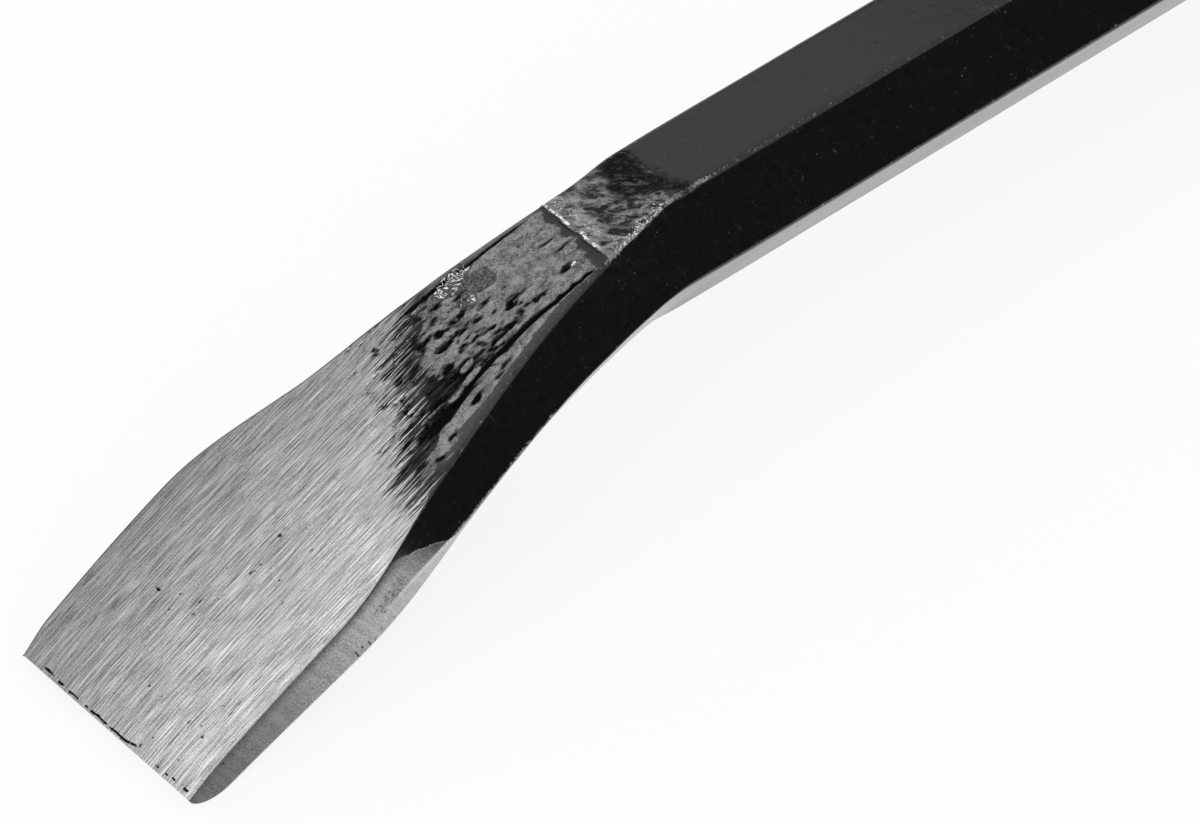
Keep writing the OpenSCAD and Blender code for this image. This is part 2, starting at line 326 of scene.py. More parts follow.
def crumpled(p):
    """Crumpled skin between the stock and the step: depth, where it lies, how creased it is, and
    where its dark wrinkled patch lies."""
    a, b = p.warp
    along, across = 0.58 * p.s + 0.81 * p.y, 0.81 * p.s - 0.58 * p.y
    rough = p.top * smooth(-0.5, 1.5, p.s + 3.0 * a) * (1 - smooth(-0.2, 0.1, past_step(p)))
    middle = 1 - smooth(3.0, 5.5, np.abs(p.y + 0.3))
    strong = np.interp(p.s, (-3, -1, 2, 6.5, 8.0, 9.9), (0.0, 0.9, 1.0, 1.0, 0.25, 0.1))
    strong = strong * (0.35 + 0.65 * middle)
    patch_from = np.interp(p.y, (-4.5, -2.6, 0.5, 5), (-3.0, -1.6, -1.2, -1.0))
    patch_to = np.interp(p.y, (-4.5, -2.2, -0.8, 2.0, 5.0), (-0.4, 2.0, 3.4, 4.0, 2.6))
    wrinkle = p.top * window(patch_from, patch_to, p.s + 2.6 * b, 1.3)
    folds = 0.6 * noise((along + 2.2 * a) / 1.5, (across + 1.8 * b) / 0.7, seed=24, octaves=2)
    folds = folds + 0.4 * noise((along + 2.6 * a) / 3.4, (across + 2.0 * b) / 1.7, seed=25, octaves=2)
    where = np.maximum(rough, wrinkle)
    return where * 0.5 * (0.3 + strong) * (folds - 0.8), rough, where * strong, wrinkle


def scale_skin(p, island):
    """Where mill scale covers the broad face between the step and the grinding."""
    end = np.interp(p.y, (-9.5, -7.0, -5.5, -3, 0, 3, 6), (41.0, 36.5, 31.0, 31.0, 32.0, 31.0, 28.0))
    end = end + 5.0 * (noise(p.y / 0.8, p.s / 6, seed=38, octaves=3) - 0.5)
    skin = np.clip(0.5 + 0.9 * (past_step(p) - 1.0 + 2.0 * p.warp[0] + 0.05 * p.y), 0, 1)
    skin = skin * np.clip(0.5 + 0.5 * (end - p.s), 0, 1)
    near = np.interp(p.s, (11, 13, 16, 30, 34, 38, 42), (0.3, 0.6, 1.0, 1.1, 1.8, 1.8, 1.4))
    far = np.interp(p.s, (11, 14, 20, 26, 31), (0.4, 0.7, 1.1, 1.5, 1.9))
    inside = np.minimum((p.face + p.y - near) / 0.3, (p.face - p.y - far) / 0.3) + 1.2 * p.warp[1]
    return p.top * np.maximum(skin * np.clip(0.5 + inside, 0, 1), island)


def chained_pits(p):
    """Long pits that crowd along the chains."""
    a, b = p.warp
    long_grain = noise((p.s + 1.2 * a) / 1.1, (p.y + 0.8 * b) / 0.45, seed=26, octaves=3)
    chained = 0.0
    for start, end, middle, strength in CHAINS:
        off = (p.y - middle + 0.9 * a) / 0.55
        chained = np.maximum(chained, strength * np.exp(-off * off) * window(start, end, p.s, 0.7))
    crowded = np.interp(p.s, (10, 20, 25, 34), (-0.10, -0.07, 0.03, 0.04)) + 0.05 * smooth(-0.5, -2.5, p.y)
    crowded = crowded - 0.16 * smooth(-5.6, -6.2, p.y)
    within = smooth(0.9, 1.6, past_step(p)) * (1 - smooth(37, 41, p.s))
    return within * np.clip(0.5 + 2.4 * (long_grain + 0.19 * chained + crowded - 0.74), 0, 1)


def near_fold(p):
    """The long fold beside the near ridge."""
    fold_y = -5.45 + 0.22 * np.cos((p.s - 23.5) / 5.0) + 0.5 * (noise(p.s / 1.8, seed=27, octaves=2) - 0.5)
    width = np.interp(p.s, (FOLD_FROM, 14, 16, 20, 27, 32, 37, FOLD_TO),
                      (0.14, 0.20, 0.25, 0.32, 0.36, 0.40, 0.30, 0.06))
    width = width + 0.2 * (noise(p.s / 1.1, p.y, seed=30) - 0.5)
    return np.clip(0.5 + (width - np.abs(p.y - fold_y)) / 0.4, 0, 1) * window(FOLD_FROM, FOLD_TO, p.s, 0.6)


def far_groove(p):
    """The groove beside the far ridge."""
    inwards = np.interp(p.s, (13, 15, 20, 25, 30, 34), (0.4, 0.6, 0.85, 1.05, 1.45, 1.5))
    width = np.interp(p.s, (12, 14, 20, 25, 28, 30), (0.0, 0.12, 0.22, 0.26, 0.10, 0.0))
    groove = np.clip(0.5 + (width - np.abs(p.face - p.y - inwards + 0.6 * p.warp[0])) / 0.4, 0, 1)
    return groove * window(12, 29, p.s, 0.6)


def black_marks(p, island):
    """All pits, the fold and the groove, apart from where a scrap of scale lies over them."""
    single = spots(p.s + 1.8 * p.warp[0], p.y + 1.0 * p.warp[1], PITS)
    # the finish turns these marks black, partly as painted shade of the hollows
    black = np.maximum.reduce([chained_pits(p), single, near_fold(p), far_groove(p)]) * p.top
    return black * (1 - smooth(0.35, 0.6, island))


def torn_metal(p):
    """Patches where metal was torn up, and how bright they are."""
    torn = np.zeros_like(p.s)
    for at_s, at_y, half_s, half_y, bright in SCRAPES:
        apart = np.hypot((p.s - at_s) / half_s, (p.y - at_y) / half_y)
        torn = np.maximum(torn, bright * (1 - smooth(0.7, 1.0, apart + 0.9 * p.warp[0])))
    return torn * p.top


def ground_past(p):
    """How far a point lies beyond the line where the grinding has cut through the lacquer."""
    wander = 0.8 * (noise(p.s / 1.5, p.y / 1.5, p.h / 1.5, seed=29) - 0.5)
    on_side = np.maximum(45.4 + 1.35 * p.h, 37.0) + wander
    return p.s - (p.top * np.interp(p.y, GRIND_Y, GRIND_S) + (1 - p.top) * on_side)


def edge_nicks(p):
    """Short dark nicks along the cutting edge, then pinholes in the ground steel with the specks
    and cuts of the blade's near side."""
    wander = 0.9 * (noise(p.y / 2.2, seed=34, octaves=2) - 0.5)
    nick = 0.0
    for middle, half in NICKS:
        nick = nick + np.exp(-((p.y - middle) / half) ** 4)
    broken = noise((p.y + 0.5 * p.s) / 0.55, p.s / 0.3, seed=36, octaves=2)
    thick = 0.09 + 0.08 * noise(p.y / 0.8, seed=39)
    close = np.exp(-((p.s - EDGE_AT + 0.5 + wander) / thick) ** 2)
    nick = p.top * close * smooth(0.46, 0.58, broken + 0.22 * np.clip(nick, 0, 1) - 0.12)
    pinhole = noise(p.s / 0.5, p.y / 0.4, p.h / 0.4, seed=31)
    pinhole = pinhole + 0.25 * (noise(p.s / 8, p.y / 8, p.h / 5, seed=32) - 0.5)
    pinhole = np.clip(0.5 + 5 * (pinhole - 0.965), 0, 1) * smooth(44, 48, p.s)
    on_side = 0.27 * window(51.0, 57, p.s, 1.5) * window(-0.2, 2.1, p.h, 0.8)
    on_side = np.maximum(on_side, 0.7 * spots(p.s, p.h, TICKS, 0.12)) * (p.y < 0)
    return nick, np.maximum(pinhole, on_side * (1 - p.top))


def corner_chips(p):
    """Chips along the near ridge and under the neck, and the scuffs on the near side. The same mask also
    lays a painted highlight along the ground steel's low edges.
    """
    near_ridge = p.ridge ** 1.3 * (p.y < 0) * smooth(0.5, 2.5, p.h)
    chip = near_ridge * (window(-5, 11, p.s, 2.5) + 0.32 * window(-22, -5, p.s, 3))
    chip = np.maximum(chip, 0.40 * spots(p.s, p.h, SCUFFS, 0.2) * (1 - p.top) * (p.y < 0))
    chip = chip + 0.7 * p.ridge * window(24, 44, p.s, 2) * (p.h < 0)
    return np.clip(chip, 0.25 * p.ridge, 1)


def ridge_sheen_strips(p):
    """Painted highlight: a lighter strip of lacquer between the scale and each ridge, for the sheen of the
    rounded ridge.
    """
    near_strip = 0.35 + 0.65 * smooth(0.0, 1.3, p.face + p.y)
    near_strip = near_strip * (1 - smooth(0, 0.5, p.face + p.y - 2.0))
    far_strip = 1 + 1.6 * (1 - smooth(0.2, 1.3, p.face - p.y))
    far_strip = far_strip * (1 - smooth(0, 0.5, p.face - p.y - 1.4))
    return np.where(p.y < 0, near_strip, far_strip) * p.top * window(11.5, 44, p.s, 1)


def chisel_marks(p):
    """Everything on the chisel end: the depth in millimetres, and what the finish reads."""
    step, lip, foot = step_marks(p)
    crumple, rough, crease, wrinkle = crumpled(p)
    island = p.top * spots(p.s + 0.8 * p.warp[1], p.y + 0.5 * p.warp[0], ISLANDS)
    scale, black = scale_skin(p, island), black_marks(p, island)
    torn, (nick, pinhole) = torn_metal(p), edge_nicks(p)
    ground = smooth(GRIND_FAR - 2, GRIND_FAR + 6, p.s)
    hammered = 0.16 * window(-3, GRIND_FAR + 4, p.s, 6)
    depth = lacquer_ripple(p.s, p.y, p.h) * (1 - smooth(NECK_AT - 6, NECK_AT + 6, p.s))
    depth = depth - hammered * noise(p.s / 5.5, p.y / 4.5, p.h / 4.5, seed=5, octaves=2)
    depth = depth + step + crumple - 0.34 * smooth(0.2, 0.8, black) + 0.07 * smooth(0.4, 0.6, scale)
    depth = depth + 0.4 * torn * (noise(p.s / 0.7, p.y / 0.7, seed=28, octaves=3) - 0.6)
    depth = depth - 0.12 * nick - 0.05 * pinhole - 0.05 * ground * noise(p.s / 22, p.y / 7, seed=33)
    neck = window(-3, GRIND_FAR, p.s, 1) * p.top
    return {"depth": depth, "bare": ground_past(p), "torn": torn, "chip": corner_chips(p),
            "scale": scale, "rough": rough, "black": np.maximum(black, pinhole), "wrinkle": wrinkle,
            "nick": nick, "lip": lip, "foot": foot, "crease": crease, "rubbed": ridge_sheen_strips(p),
            "neck": neck, "below": p.outer - p.h, "along": p.s}


def claw_marks(p):
    """Everything on the claw end, all inwards. h is height towards the outside of the bow."""
    a, b = p.warp
    depth = lacquer_ripple(FAR_END - p.s, p.y, -p.h) * (1 - smooth(CLAW_AT, CLAW_AT + 8, p.s))
    forged = window(HEX_AT - 4, CLAW_AT + 6, p.s, 6)
    depth = depth - 0.26 * forged * noise(p.s / 5.5, p.y / 4.5, p.h / 4.5, seed=42, octaves=2)
    pits = noise((p.s + 1.6 * a) / 1.6, (p.y + 1.2 * b) / 0.7, p.h / 2, seed=43, octaves=3)
    black = forged * np.clip(0.5 + 5 * (pits - 0.74), 0, 1)
    depth = depth - 0.22 * smooth(0.2, 0.8, black)
    ground = smooth(CLAW_AT + 2, CLAW_AT + 9, p.s)
    depth = depth - 0.05 * ground * noise(p.s / 20, p.y / 6, seed=44)
    ragged = 5.0 * (noise(p.y / 3, p.h / 3, seed=45) - 0.5)
    bare = p.s - (CLAW_AT + 1.5 + 4.0 * smooth(4, 15, np.abs(p.y)) + ragged)
    scale = forged * np.clip(0.5 + 4 * (noise(p.s / 6, p.y / 6, p.h / 6, seed=46, octaves=3) - 0.52), 0, 1)
    scale = scale * (1 - smooth(-6, -2, bare)) * (1 - smooth(0.55, 1.0, p.ridge))
    absent = ("torn", "rough", "wrinkle", "nick", "lip", "foot", "crease", "rubbed", "neck")
    found = dict.fromkeys(absent, np.zeros_like(depth))
    found.update(depth=depth, bare=bare, chip=0.4 * p.ridge, scale=scale, black=black)
    found.update(below=p.outer - p.h, along=p.s)
    return found


# Meshes, and the marks that ride on them: three to each attribute
MARK_SETS = {
    "wear": ("bare", "torn", "chip"), "forge": ("scale", "rough", "black"),
    "skin": ("wrinkle", "crease", "rubbed"), "form": ("top", "side", "relief"),
    "edge": ("below", "nick", "lip"), "step": ("foot", "neck", "along")}


def attribute(mesh, name, columns):
    """Three numbers for each point, under one name."""
    made = mesh.attributes.new(name, "FLOAT_VECTOR", "POINT")
    made.data.foreach_set("vector", np.stack([np.ravel(c) for c in columns], -1).astype(np.float32).ravel())


def grain_of(s, y, h, side):
    """Coordinates that run with the grinding lines, which lie another way on the narrow faces."""
    along = s * (1 - side) + (h + 0.25 * s) * side
    across = (y + 0.4 * h) * (1 - side) + (s - 0.2 * h) * side
    return [along, across, side]


def keep_marks(mesh, marks, keep=slice(None)):
    """Hands the marks to the finish, three to each attribute."""
    for name, parts in MARK_SETS.items():
        attribute(mesh, name, [marks[part][keep] for part in parts])


def raised(depth):
    """How far each point stands out from the ground within about a millimetre of it."""
    level = depth
    for _ in range(3):
        level = sum((np.roll(level, shift, 1) for shift in (2, -2, 4, -4)), level) / 5
        rim = np.pad(level, ((4, 4), (0, 0)), mode="edge")
        level = (rim[4:-4] + rim[2:-6] + rim[6:-2] + rim[:-8] + rim[8:]) / 5
    return depth - level


def link(name, data):
    """A new object in the scene."""
    obj = bpy.data.objects.new(name, data)
    bpy.context.scene.collection.objects.link(obj)
    return obj


def closed_mesh(name, points, segments):
    """Rows of rings skinned into a closed solid, with a ladder of faces over each end."""
    rows, n = points.shape[:2]
    broad, narrow, turn = segments
    a = (np.arange(rows - 1)[:, None] * n + np.arange(n)[None]).ravel()
    b = (np.arange(rows - 1)[:, None] * n + (np.arange(n)[None] + 1) % n).ravel()
    faces = np.stack([a, b, b + n, a + n], -1).tolist()
    pole = turn + narrow + turn // 2
    for row, flip in ((0, True), (rows - 1, False)):
        ladder = [[pole, (pole + 1) % n, (pole - 1) % n]]
        for k in range(1, n // 2 - 1):
            ladder.append([(pole - k) % n, (pole + k) % n, (pole + k + 1) % n, (pole - k - 1) % n])
        far = (pole + n // 2) % n
        ladder.append([(far + 1) % n, (far - 1) % n, far])
        faces += [[row * n + i for i in (f[::-1] if flip else f)] for f in ladder]
    mesh = bpy.data.meshes.new(name)
    mesh.from_pydata(points.reshape(-1, 3).tolist(), [], faces)
    mesh.validate()
    return mesh, (rows - 1) * n


def relief_normals(moved, out):
    """Normals of the surface with its marks, on the same side as those of the smooth surface."""
    lit = grid_normals(moved)
    return lit * np.sign((lit * out).sum(-1, keepdims=True))


def keep_normals(mesh, lit, skin):
    """Shades the skin by the normals of its grid, and the faces over the ends by their own."""
    mesh.polygons.foreach_set("use_smooth", np.ones(len(mesh.polygons), bool))
    corner_vertex = np.zeros(len(mesh.loops), np.int64)
    mesh.loops.foreach_get("vertex_index", corner_vertex)
    per_corner = lit.reshape(-1, 3)[corner_vertex]
    for face in mesh.polygons[skin:]:
        per_corner[face.loop_start:face.loop_start + face.loop_total] = face.normal
    mesh.normals_split_custom_set(per_corner.tolist())


NOSE_DRAWN_BACK = 0.05      # how far the rows are drawn back by the time they reach the edge


def bar_piece(name, s, segments, stations, place, marks, cut=None, rail=None, normals=True):
    """One zone of the bar as a dense solid. s holds the rows, and one more beyond each end
    only lends its slope, so that the zones meet without a mark."""
    sizes = eased(stations, s)
    if cut is not None:
        sizes[:, 0] -= cut(s)
    ring, near = rings(sizes, segments)
    y, h = ring[..., 0], ring[..., 1]
    ss = np.broadcast_to(s[:, None], y.shape)
    if cut is not None:
        ss = ss - NOSE_DRAWN_BACK * smooth(LAND_AT, EDGE_AT, s)[:, None]
    smooth_grid = place(ss, y, h)
    out = directions(smooth_grid)
    upright = place(ss, y, h + 1) - smooth_grid
    top = smooth(0.56, 0.74, (out * upright).sum(-1))
    side = smooth(0.6, 0.85, np.abs(out[..., 1]))
    ridge = 1 - smooth(0.05, 0.75, near)
    outer, face = (np.broadcast_to(sizes[:, k:k + 1], y.shape) for k in (1, 2))
    found = marks(Points(ss, y, h, outer, face, top, ridge))
    found.update(top=top, side=side, relief=raised(found["depth"]))
    moved = smooth_grid + out * found["depth"][..., None]
    keep = slice(1, -1)
    mesh, skin = closed_mesh(name, moved[keep] * MM, segments)
    mesh.update()
    if mesh.polygons[0].normal.dot(Vector(out[1, 0])) < 0:
        mesh.flip_normals()
    rail_s, rail_h = rail(ss, h) if rail else (ss, h)
    attribute(mesh, "rail", [v[keep] for v in (rail_s, y, rail_h)])
    attribute(mesh, "grain", [v[keep] for v in grain_of(ss, y, h, side)])
    keep_marks(mesh, found, keep)
    if normals:
        keep_normals(mesh, relief_normals(moved, out)[keep], skin)
    return link(name, mesh)


def rows(start, end, step, head=0.2, tail=0.2):
    """Evenly spaced rows, with the two extra ones that only lend their slope."""
    n = max(2, round(abs(end - start) / step) + 1)
    way = 1 if end > start else -1
    return np.concatenate([[start - way * head], np.linspace(start, end, n), [end + way * tail]])


# Finishes
class Tree:
    """Short names for the nodes of one material or world."""

    def __init__(self, owner):
        owner.use_nodes = True
        self.owner = owner
        self.tree = owner.node_tree
        self.tree.nodes.clear()

    def node(self, kind, inputs=(), **settings):
        made = self.tree.nodes.new(kind)
        for key, value in settings.items():
            setattr(made, key, value)
        for key, value in dict(inputs).items():
            if isinstance(value, bpy.types.NodeSocket):
                self.tree.links.new(value, made.inputs[key])
            else:
                made.inputs[key].default_value = value
        return made

    def calc(self, operation, *values, clamp=False):
        made = self.node("ShaderNodeMath", dict(enumerate(values)), operation=operation, use_clamp=clamp)
        return made.outputs[0]

    def times(self, first, *others):
        """Product of all values."""
        for value in others:
            first = self.calc("MULTIPLY", first, value)
        return first

    def most(self, first, *others, clamp=False):
        """The largest value, held between 0 and 1 where clamp is asked for."""
        for value in others:
            first = self.calc("MAXIMUM", first, value, clamp=clamp and value is others[-1])
        return first

    def total(self, *pairs):
        """Sum of value times weight."""
        out = 0.0
        for value, weight in pairs:
            out = self.calc("MULTIPLY_ADD", value, weight, out)
        return out

    def step(self, value, low, high):
        """0 up to low, 1 from high on. High may be the smaller of the two."""
        return self.node("ShaderNodeMapRange", {"Value": value, "From Min": low, "From Max": high},
                         interpolation_type="SMOOTHSTEP").outputs[0]

    def attribute(self, name):
        return self.node("ShaderNodeAttribute", attribute_name=name).outputs["Vector"]

    def parts(self, vector):
        return self.node("ShaderNodeSeparateXYZ", {0: vector}).outputs

    def noise(self, vector, scale, detail=2.0, roughness=0.5, shift=0.0, swirl=0.0):
        """Noise with its own number of grains per millimetre each way, stirred by swirl."""
        scaled = self.node("ShaderNodeVectorMath", {0: vector, 1: scale, 2: (shift,) * 3},
                           operation="MULTIPLY_ADD").outputs[0]
        return self.node("ShaderNodeTexNoise", {"Vector": scaled, "Scale": 1.0, "Detail": detail,
                                                "Roughness": roughness, "Distortion": swirl}).outputs[0]

    def mix(self, factor, a, b):
        return self.node("ShaderNodeMix", {0: factor, 2: a, 3: b}).outputs[0]

    def off(self, value):
        """1 minus a value."""
        return self.calc("SUBTRACT", 1.0, value)


# Greys and roughness of the layers, and the gloss that they share
GLOSS = 0.42
LACQUER = 0.007
LACQUER_LEAST = 0.003
# painted highlight: lacquer grey of the strips beside the ridges
RIDGE_SHEEN = 0.035
SCALE_DARK, SCALE_LIGHT = 0.06, 0.28
# crumpled and wrinkled skin, dark in its folds and light on its crests: partly pooled lacquer, partly
# painted shade and highlight
SKIN_DARK, SKIN_LIGHT = 0.035, 0.27
WRINKLE_DARK, WRINKLE_LIGHT = 0.003, 0.045
FRAYED_DARK, FRAYED_LIGHT = 0.09, 0.24
MOTTLE_DARK, MOTTLE_LIGHT = 0.015, 0.16
STEEL_DARK, STEEL_LIGHT = 0.14, 0.78
SCRATCH_LIGHT = 0.95
TORN = 0.9
VOID = 0.004
LACQUER_ROUGH, SKIN_ROUGH, SCALE_ROUGH, VOID_ROUGH, TORN_ROUGH = 0.16, 0.36, 0.48, 0.5, 0.25

# Noises of the grinding, the surface and the folds: grains per millimetre each way, detail,
# roughness, shift and swirl
GROUND_GRAINS = {
    "streak": ((0.13, 4.8, 4.8), 2, 0.5), "fine": ((0.30, 9.0, 9.0), 1, 0.5, 31),
    "wide": ((0.06, 1.6, 1.6), 2, 0.5, 57), "tongue": ((0.15, 4.0, 4.0), 2, 0.6, 23),
    "scratch": ((0.09, 6.0, 6.0), 1, 0.4, 19), "clump": ((0.28, 1.1, 1.1), 3, 0.6, 11)}
SURFACE_GRAINS = {
    "grit": ((6, 6, 6), 2, 0.6, 5), "spot": ((2.6, 2.6, 2.6), 3, 0.6, 41),
    "patch": ((0.8, 0.8, 0.8), 3, 0.6, 71), "peel": ((0.9, 0.9, 0.9), 2, 0.5, 83)}
FOLD_GRAINS = {
    "fold": ((0.55, 1.25, 1.0), 4, 0.6, 13, 0.8), "small_fold": ((1.1, 2.4, 1.0), 3, 0.6, 29, 0.8),
    "loop": ((1.0, 2.0, 1.0), 1.5, 0.5, 67, 0.9)}


def read_surface(t):
    """The marks that the meshes carry and the noises that fray them, all by name."""
    m = SimpleNamespace()
    for set_name, names in MARK_SETS.items():
        vars(m).update(zip(names, t.parts(t.attribute(set_name))))
    rail, grain = t.attribute("rail"), t.attribute("grain")
    at_s, m.at_y = t.parts(rail)[:2]
    folded = t.node("ShaderNodeCombineXYZ", {0: t.total((at_s, 0.58), (m.at_y, 0.81)),
                                             1: t.total((at_s, 0.81), (m.at_y, -0.58))}).outputs[0]
    for vector, grains in ((grain, GROUND_GRAINS), (rail, SURFACE_GRAINS), (folded, FOLD_GRAINS)):
        for name, settings in grains.items():
            setattr(m, name, t.noise(vector, *settings))
    return m


# Below, a sum of a mark and noises is cut off between two levels, which frays the mark's outline.
def ground_share(t, m):
    """Where the steel is bare, and where lacquer is left in the grinding lines near its edge."""
    edge = t.total((m.tongue, 40.0), (m.clump, 12.0), (m.bare, 1.0))
    share = t.step(t.calc("SUBTRACT", edge, 25.5), -1.0, 1.0)
    share = t.mix(m.side, share, t.step(t.total((m.bare, 1.0), (m.grit, 0.8)), 0.2, 0.6))
    left = t.total((m.streak, 0.9), (m.fine, 0.3), (m.clump, 0.5), (m.bare, -0.024))
    left = t.times(t.step(left, 0.87, 0.91), m.top)
    cut = t.step(t.total((m.streak, 0.6), (m.fine, 0.2), (m.bare, 0.012)), 0.47, 0.50)
    cut = t.times(cut, m.top, t.step(m.bare, -9.0, -5.0))
    return t.most(t.times(share, t.off(left)), cut), left


def bright_flecks(t, m):
    """Curls of torn metal, the lip of the step, and chips along the corners."""
    bend = t.calc("ABSOLUTE", t.calc("SUBTRACT", m.loop, 0.5))
    torn = t.step(t.total((m.torn, 0.8), (m.patch, 0.9), (m.spot, 0.6)), 1.36, 1.50)
    curls = t.times(t.step(bend, 0.052, 0.028), torn)
    lips = t.step(t.total((m.lip, 0.50), (m.spot, 0.7), (m.grit, 0.95), (bend, -0.6)), 1.16, 1.24)
    chipped = t.step(t.total((m.chip, 0.40), (m.spot, 0.7), (m.patch, 0.60), (m.grit, 0.3)), 1.28, 1.34)
    return t.most(curls, lips, chipped, clamp=True)


def add_layers(t, m):
    """Where each layer of the finish lies, and the speckle in it."""
    m.ground, m.left = ground_share(t, m)
    m.fleck = bright_flecks(t, m)
    m.bright = t.step(t.total((m.patch, 0.34), (m.spot, 0.28), (m.grit, 0.38)), 0.40, 0.60)
    m.scaled = t.step(t.total((m.scale, 1.0), (m.spot, 0.9), (m.grit, 0.6)), 1.08, 1.36)
    m.crumpled = t.step(t.total((m.rough, 1.0), (m.spot, 0.9), (m.grit, 0.5)), 1.02, 1.32)
    m.wrinkled = t.step(t.total((m.wrinkle, 1.0), (m.fold, 2.0), (m.grit, 0.4)), 1.40, 2.10)
    m.crest = t.step(t.total((m.small_fold, 0.5), (m.fold, 0.5), (m.grit, 0.1)), 0.54, 0.70)


def steel_grey(t, m):
    """Grey of the ground steel, with its grinding lines, the painted shade of its sides, a painted light
    gradient across the blade and a painted highlight along its low edges.
    """
    lines = t.total((m.streak, 0.31), (m.fine, 0.38), (m.wide, 0.04), (m.grit, 0.27))
    quiet = t.total((m.streak, 0.04), (m.fine, 0.10), (m.wide, 0.08), (m.grit, 0.40), (0.19, 1.0))
    steel = t.mix(t.step(t.mix(m.side, lines, quiet), 0.35, 0.67), STEEL_DARK, STEEL_LIGHT)
    steel = t.mix(t.times(t.step(m.scratch, 0.68, 0.72), m.top), steel, SCRATCH_LIGHT)
    # Painted light: the steel grows lighter towards the blade's -y side, for how the light falls across it.
    steel = t.times(steel, t.total((m.at_y, -0.021), (0.92, 1.0)))
    shade = t.mix(t.step(m.along, 46.0, 84.0), 0.84, 0.30)
    shade = t.mix(t.step(m.below, 0.0, 2.2), 0.20, shade)
    steel = t.times(steel, t.mix(m.side, 1.0, shade))
    # Painted highlight, partly a worn bright edge: the ground steel lightens along its low edges.
    worn_edge_highlight = t.step(t.total((m.chip, 1.0), (m.grit, 0.3)), 0.25, 0.35)
    worn_edge_highlight = t.times(worn_edge_highlight, t.step(m.below, 4.2, 4.8))
    return t.mix(t.times(worn_edge_highlight, 0.6), steel, STEEL_LIGHT)


def covered_grey(t, m):
    """Grey of lacquer, scale, crumpled and wrinkled skin, torn ground and dust, with painted shade in
    hollows and round pits and a painted highlight on the strips beside the ridges.
    """
    # Painted shade: the scale darkens round the pits and where it lies lower than its surroundings, for the
    # shade on the pits' flanks and in hollows.
    pit_flank_shade = t.step(t.total((m.black, 1.0), (m.spot, 0.6), (m.grit, 0.3)), 0.50, 0.85)
    scale = t.times(t.mix(m.bright, SCALE_DARK, SCALE_LIGHT), t.mix(t.step(m.relief, -0.09, 0.02), 0.4, 1.0),
                    t.mix(pit_flank_shade, 1.0, 0.36))
    # painted highlight: the strips beside the ridges are lighter, for the sheen of the rounded ridges
    strip = t.times(m.rubbed, t.total((m.bright, 0.5), (0.75, 1.0)))
    plain = t.total((LACQUER_LEAST, 1.0), (m.bright, 0.4 * LACQUER), (t.times(m.neck, m.bright), LACQUER),
                    (m.side, 0.002), (strip, RIDGE_SHEEN))
    grey = t.mix(m.scaled, plain, scale)
    # Painted shade and highlight, partly pooled lacquer: the crumpled skin is darker in its folds and low
    # places and lighter where it stands out. The wrinkled patch is light only on its crests.
    tone = t.total((m.fold, 0.7), (m.small_fold, 0.3), (m.grit, 0.25), (m.relief, 0.8), (m.crease, -0.04))
    grey = t.mix(m.crumpled, grey, t.mix(t.step(tone, 0.50, 0.79), SKIN_DARK, SKIN_LIGHT))
    grey = t.mix(m.wrinkled, grey, t.mix(m.crest, WRINKLE_DARK, WRINKLE_LIGHT))
    frayed = t.step(t.total((m.chip, 0.9), (m.spot, 1.4), (m.grit, 0.8), (m.patch, 0.8)), 1.86, 2.14)
    grey = t.mix(frayed, grey, t.mix(m.bright, FRAYED_DARK, FRAYED_LIGHT))
    mottle = t.mix(t.step(t.total((m.spot, 0.6), (m.grit, 0.4)), 0.42, 0.64), MOTTLE_DARK, MOTTLE_LIGHT)
    grey = t.mix(t.step(t.total((m.torn, 1.0), (m.grit, 0.3)), 0.35, 0.55), grey, mottle)
    dust = t.step(t.total((m.grit, 0.5), (m.spot, 0.35), (m.patch, 0.35)), 0.79, 0.82)
    return t.mix(dust, grey, SCALE_LIGHT)


def blackness(t, m):
    """The black of pits, folds and cracks, of the rim of torn ground and of smeared lacquer. In pits, folds,
    cracks, the wrinkled hollows and along the step's foot, the black is partly painted shade.
    """
    broken = t.total((m.grit, 0.7), (m.spot, 0.9), (m.tongue, 0.5))
    pits = t.step(t.calc("ADD", t.most(m.black, m.nick), broken), 1.24, 1.72)
    line = t.step(t.total((m.foot, 0.7), (m.spot, 0.9), (m.grit, 0.5)), 1.12, 1.36)
    folds = t.step(t.total((m.fold, 0.75), (m.small_fold, 0.25), (m.crease, -0.10)), 0.425, 0.325)
    folds = t.most(line, t.times(m.crumpled, folds))
    hollows = t.times(m.wrinkled, t.off(m.crest))
    cracks = t.times(t.step(t.total((m.small_fold, 0.6), (m.fold, 0.4)), 0.385, 0.345), m.scaled)
    rim = t.times(t.step(t.total((m.torn, 1.0), (m.grit, 0.3)), 0.20, 0.30), t.step(m.torn, 0.42, 0.30))
    within = t.times(t.off(m.scaled), t.step(m.bare, -10.0, -5.0), t.off(m.ground),
                     t.times(t.off(m.rubbed), m.neck))
    smear = t.times(t.step(t.total((m.clump, 0.6), (m.tongue, 1.0)), 0.66, 0.86), within)
    left = t.times(m.left, t.step(m.bare, -5.0, 0.0))
    return t.most(pits, t.times(folds, 0.75), t.times(hollows, 0.88), t.times(cracks, 0.8),
                  t.times(rim, 0.4), t.times(smear, 0.85), left, clamp=True)


def layer_roughness(t, m, dark):
    """How rough each layer is."""
    rough = t.mix(m.scaled, t.mix(m.crumpled, LACQUER_ROUGH, SKIN_ROUGH), SCALE_ROUGH)
    rough = t.mix(m.ground, rough, t.total((m.fine, 0.25), (0.22, 1.0)))
    return t.mix(m.fleck, t.mix(dark, rough, VOID_ROUGH), TORN_ROUGH)


